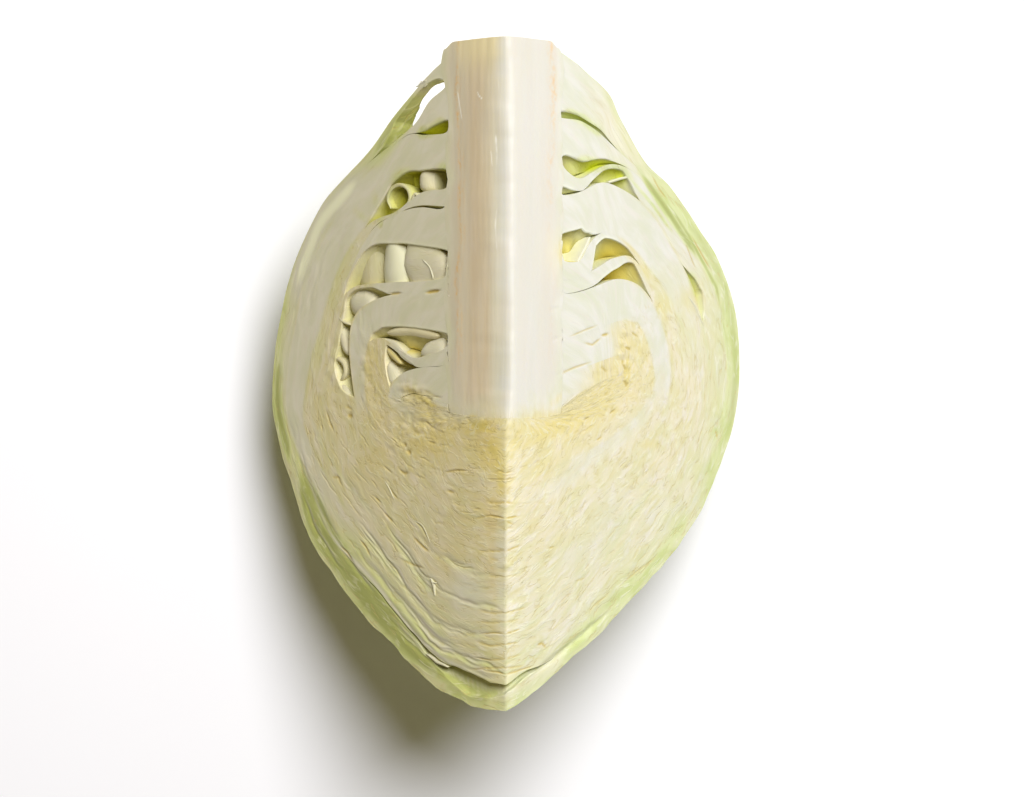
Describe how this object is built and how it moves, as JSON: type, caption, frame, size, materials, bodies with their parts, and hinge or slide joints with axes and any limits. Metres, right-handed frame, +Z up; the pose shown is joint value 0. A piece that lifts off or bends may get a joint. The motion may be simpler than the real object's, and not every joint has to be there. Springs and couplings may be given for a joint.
{
  "type": "quarter wedge of a pointed cabbage",
  "caption": "Raw quarter of a pointed cabbage with two cut faces meeting along a pale stalk, nested leaves and a green outside, lying on its curved back.",
  "frame": {"origin": "on the table, under the middle of the wedge's bounding box", "axes": "+Y runs along the head's middle line to the stalk's cut end, with the pointed tip at -Y; +Z is up, with the knife edge between the two cut faces on top; +X is to the right, on the side of the right cut face"},
  "size_m": [0.1122, 0.15, 0.078],
  "materials": {
    "stalk_flesh": "moist, dense cut stalk, cream white with thin tan strands, satin",
    "outer_leaf_green": "waxy yellow-green leaf with pale branching veins, satin",
    "pale_green_leaf": "crisp pale green-white leaf and midrib flesh, freshly cut, satin",
    "cream_leaf": "crisp cream white leaf flesh, freshly cut, satin",
    "heart_yellow": "tender yellow heart leaves, freshly cut, satin"
  },
  "bodies": {
    "root": {"stalk": "stalk_flesh", "leaf_01_torn": "outer_leaf_green", "leaf_02": "outer_leaf_green", "leaf_03": "pale_green_leaf", "leaf_04": "pale_green_leaf", "leaf_05": "cream_leaf", "leaf_06": "cream_leaf", "leaf_07": "cream_leaf", "leaf_08": "cream_leaf", "leaf_09": "heart_yellow", "heart_bud": "heart_yellow", "tip_leaf_01": "pale_green_leaf", "tip_leaf_02": "pale_green_leaf", "tip_leaf_03": "pale_green_leaf", "tip_leaf_04": "cream_leaf", "tip_leaf_05": "cream_leaf", "tip_leaf_06": "cream_leaf", "tip_leaf_07": "cream_leaf", "tip_leaf_08": "cream_leaf", "tip_leaf_09": "cream_leaf", "tip_leaf_10": "cream_leaf", "tip_leaf_11": "cream_leaf", "tip_leaf_12": "heart_yellow"}
  },
  "joints": []
}
